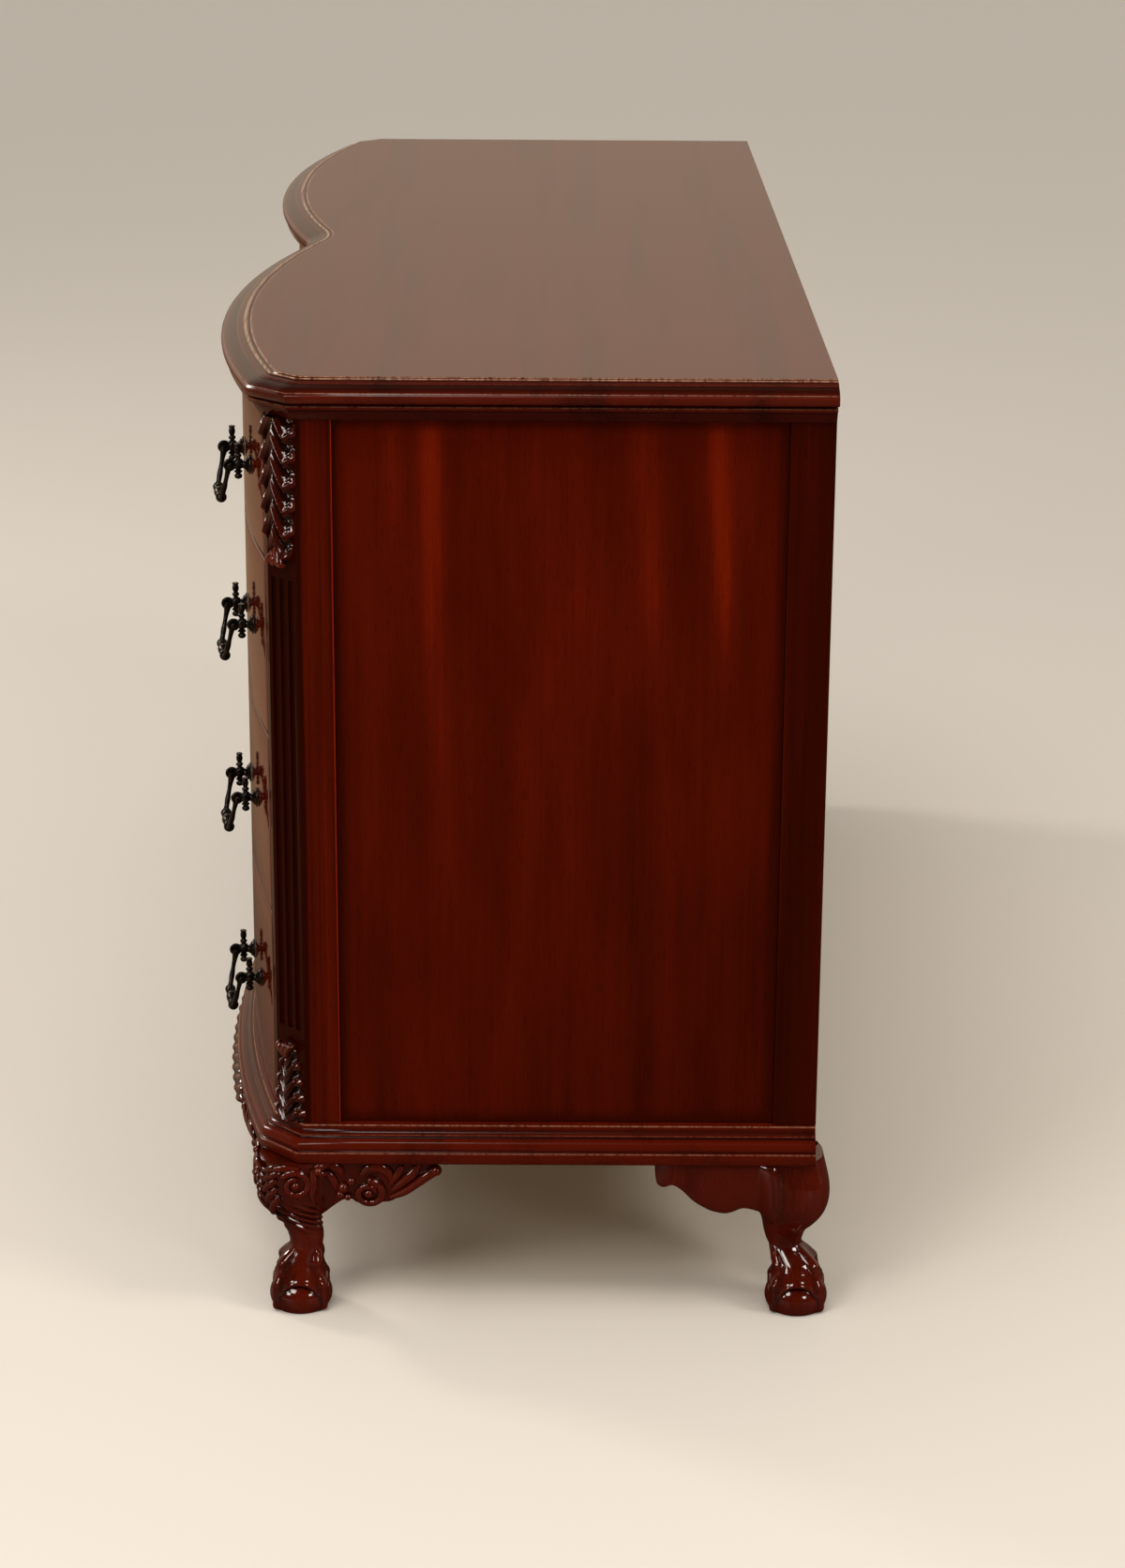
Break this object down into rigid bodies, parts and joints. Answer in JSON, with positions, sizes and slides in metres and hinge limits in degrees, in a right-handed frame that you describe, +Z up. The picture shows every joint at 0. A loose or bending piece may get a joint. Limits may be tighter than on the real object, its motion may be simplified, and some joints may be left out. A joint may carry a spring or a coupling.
{
  "type": "double dresser",
  "caption": "Double dresser with a double-bow front, canted fluted corners, carved cabriole legs on ball feet, and sliding drawers with swinging bail pulls.",
  "frame": {"origin": "on the floor, in the middle of the footprint", "axes": "+Z up, drawers open towards -Y, +X towards the right-hand end seen from the front"},
  "size_m": [1.56, 0.576, 0.87],
  "materials": {
    "mahogany": "gloss lacquer",
    "ribbon_mahogany": "gloss lacquer",
    "mahogany_top": "gloss lacquer",
    "drawer_front_mahogany": "gloss lacquer",
    "carved_mahogany": "gloss lacquer",
    "poplar": "planed",
    "drawer_oak": "planed",
    "dark_brass": "dark patina"
  },
  "bodies": {
    "case": {"top_board": "mahogany_top", "bead_moulding": "mahogany", "base_frame": "mahogany", "bottom_board": "poplar", "gadroon_strip": "carved_mahogany", "front_post_right": "mahogany", "front_post_left": "mahogany", "rear_posts": "mahogany", "side_panels": "ribbon_mahogany", "centre_stile": "mahogany", "centre_partition": "poplar", "back_panel": "poplar", "drawer_rails": "poplar", "drawer_runners": "poplar", "corner_carvings": "carved_mahogany", "front_leg_right": "carved_mahogany", "front_leg_left": "carved_mahogany", "rear_leg_right": "carved_mahogany", "rear_leg_left": "carved_mahogany"},
    "drawer_1_right": {"drawer_front_1_right": "drawer_front_mahogany", "drawer_box_1_right": "drawer_oak", "pull_posts_1_right": "dark_brass"},
    "bail_1_inner_right": {"bail_1_inner_right": "dark_brass"},
    "bail_1_outer_right": {"bail_1_outer_right": "dark_brass"},
    "drawer_1_left": {"drawer_front_1_left": "drawer_front_mahogany", "drawer_box_1_left": "drawer_oak", "pull_posts_1_left": "dark_brass"},
    "bail_1_inner_left": {"bail_1_inner_left": "dark_brass"},
    "bail_1_outer_left": {"bail_1_outer_left": "dark_brass"},
    "drawer_2_right": {"drawer_front_2_right": "drawer_front_mahogany", "drawer_box_2_right": "drawer_oak", "pull_posts_2_right": "dark_brass"},
    "bail_2_inner_right": {"bail_2_inner_right": "dark_brass"},
    "bail_2_outer_right": {"bail_2_outer_right": "dark_brass"},
    "drawer_2_left": {"drawer_front_2_left": "drawer_front_mahogany", "drawer_box_2_left": "drawer_oak", "pull_posts_2_left": "dark_brass"},
    "bail_2_inner_left": {"bail_2_inner_left": "dark_brass"},
    "bail_2_outer_left": {"bail_2_outer_left": "dark_brass"},
    "drawer_3_right": {"drawer_front_3_right": "drawer_front_mahogany", "drawer_box_3_right": "drawer_oak", "pull_posts_3_right": "dark_brass"},
    "bail_3_inner_right": {"bail_3_inner_right": "dark_brass"},
    "bail_3_outer_right": {"bail_3_outer_right": "dark_brass"},
    "drawer_3_left": {"drawer_front_3_left": "drawer_front_mahogany", "drawer_box_3_left": "drawer_oak", "pull_posts_3_left": "dark_brass"},
    "bail_3_inner_left": {"bail_3_inner_left": "dark_brass"},
    "bail_3_outer_left": {"bail_3_outer_left": "dark_brass"},
    "drawer_4_right": {"drawer_front_4_right": "drawer_front_mahogany", "drawer_box_4_right": "drawer_oak", "pull_posts_4_right": "dark_brass"},
    "bail_4_inner_right": {"bail_4_inner_right": "dark_brass"},
    "bail_4_outer_right": {"bail_4_outer_right": "dark_brass"},
    "drawer_4_left": {"drawer_front_4_left": "drawer_front_mahogany", "drawer_box_4_left": "drawer_oak", "pull_posts_4_left": "dark_brass"},
    "bail_4_inner_left": {"bail_4_inner_left": "dark_brass"},
    "bail_4_outer_left": {"bail_4_outer_left": "dark_brass"}
  },
  "joints": [
    {"name": "drawer_1_right_slide", "type": "slide", "parent": "case", "child": "drawer_1_right", "axis": [0, -1, 0], "range_m": [0, 0.36]},
    {"name": "bail_1_inner_right_swing", "type": "hinge", "parent": "drawer_1_right", "child": "bail_1_inner_right", "pos_m": [0.15298, -0.26446, 0.7665], "axis": [-0.9859, 0.1676, 0], "range_deg": [0, 75]},
    {"name": "bail_1_outer_right_swing", "type": "hinge", "parent": "drawer_1_right", "child": "bail_1_outer_right", "pos_m": [0.59778, -0.26744, 0.7665], "axis": [-0.988, -0.1544, 0], "range_deg": [0, 75]},
    {"name": "drawer_1_left_slide", "type": "slide", "parent": "case", "child": "drawer_1_left", "axis": [0, -1, 0], "range_m": [0, 0.36]},
    {"name": "bail_1_inner_left_swing", "type": "hinge", "parent": "drawer_1_left", "child": "bail_1_inner_left", "pos_m": [-0.15298, -0.26446, 0.7665], "axis": [-0.9859, -0.1676, 0], "range_deg": [0, 75]},
    {"name": "bail_1_outer_left_swing", "type": "hinge", "parent": "drawer_1_left", "child": "bail_1_outer_left", "pos_m": [-0.59778, -0.26744, 0.7665], "axis": [-0.988, 0.1544, 0], "range_deg": [0, 75]},
    {"name": "drawer_2_right_slide", "type": "slide", "parent": "case", "child": "drawer_2_right", "axis": [0, -1, 0], "range_m": [0, 0.36]},
    {"name": "bail_2_inner_right_swing", "type": "hinge", "parent": "drawer_2_right", "child": "bail_2_inner_right", "pos_m": [0.15298, -0.26446, 0.6195], "axis": [-0.9859, 0.1676, 0], "range_deg": [0, 75]},
    {"name": "bail_2_outer_right_swing", "type": "hinge", "parent": "drawer_2_right", "child": "bail_2_outer_right", "pos_m": [0.59778, -0.26744, 0.6195], "axis": [-0.988, -0.1544, 0], "range_deg": [0, 75]},
    {"name": "drawer_2_left_slide", "type": "slide", "parent": "case", "child": "drawer_2_left", "axis": [0, -1, 0], "range_m": [0, 0.36]},
    {"name": "bail_2_inner_left_swing", "type": "hinge", "parent": "drawer_2_left", "child": "bail_2_inner_left", "pos_m": [-0.15298, -0.26446, 0.6195], "axis": [-0.9859, -0.1676, 0], "range_deg": [0, 75]},
    {"name": "bail_2_outer_left_swing", "type": "hinge", "parent": "drawer_2_left", "child": "bail_2_outer_left", "pos_m": [-0.59778, -0.26744, 0.6195], "axis": [-0.988, 0.1544, 0], "range_deg": [0, 75]},
    {"name": "drawer_3_right_slide", "type": "slide", "parent": "case", "child": "drawer_3_right", "axis": [0, -1, 0], "range_m": [0, 0.36]},
    {"name": "bail_3_inner_right_swing", "type": "hinge", "parent": "drawer_3_right", "child": "bail_3_inner_right", "pos_m": [0.15298, -0.26446, 0.4555], "axis": [-0.9859, 0.1676, 0], "range_deg": [0, 75]},
    {"name": "bail_3_outer_right_swing", "type": "hinge", "parent": "drawer_3_right", "child": "bail_3_outer_right", "pos_m": [0.59778, -0.26744, 0.4555], "axis": [-0.988, -0.1544, 0], "range_deg": [0, 75]},
    {"name": "drawer_3_left_slide", "type": "slide", "parent": "case", "child": "drawer_3_left", "axis": [0, -1, 0], "range_m": [0, 0.36]},
    {"name": "bail_3_inner_left_swing", "type": "hinge", "parent": "drawer_3_left", "child": "bail_3_inner_left", "pos_m": [-0.15298, -0.26446, 0.4555], "axis": [-0.9859, -0.1676, 0], "range_deg": [0, 75]},
    {"name": "bail_3_outer_left_swing", "type": "hinge", "parent": "drawer_3_left", "child": "bail_3_outer_left", "pos_m": [-0.59778, -0.26744, 0.4555], "axis": [-0.988, 0.1544, 0], "range_deg": [0, 75]},
    {"name": "drawer_4_right_slide", "type": "slide", "parent": "case", "child": "drawer_4_right", "axis": [0, -1, 0], "range_m": [0, 0.36]},
    {"name": "bail_4_inner_right_swing", "type": "hinge", "parent": "drawer_4_right", "child": "bail_4_inner_right", "pos_m": [0.15298, -0.26446, 0.2795], "axis": [-0.9859, 0.1676, 0], "range_deg": [0, 75]},
    {"name": "bail_4_outer_right_swing", "type": "hinge", "parent": "drawer_4_right", "child": "bail_4_outer_right", "pos_m": [0.59778, -0.26744, 0.2795], "axis": [-0.988, -0.1544, 0], "range_deg": [0, 75]},
    {"name": "drawer_4_left_slide", "type": "slide", "parent": "case", "child": "drawer_4_left", "axis": [0, -1, 0], "range_m": [0, 0.36]},
    {"name": "bail_4_inner_left_swing", "type": "hinge", "parent": "drawer_4_left", "child": "bail_4_inner_left", "pos_m": [-0.15298, -0.26446, 0.2795], "axis": [-0.9859, -0.1676, 0], "range_deg": [0, 75]},
    {"name": "bail_4_outer_left_swing", "type": "hinge", "parent": "drawer_4_left", "child": "bail_4_outer_left", "pos_m": [-0.59778, -0.26744, 0.2795], "axis": [-0.988, 0.1544, 0], "range_deg": [0, 75]}
  ]
}
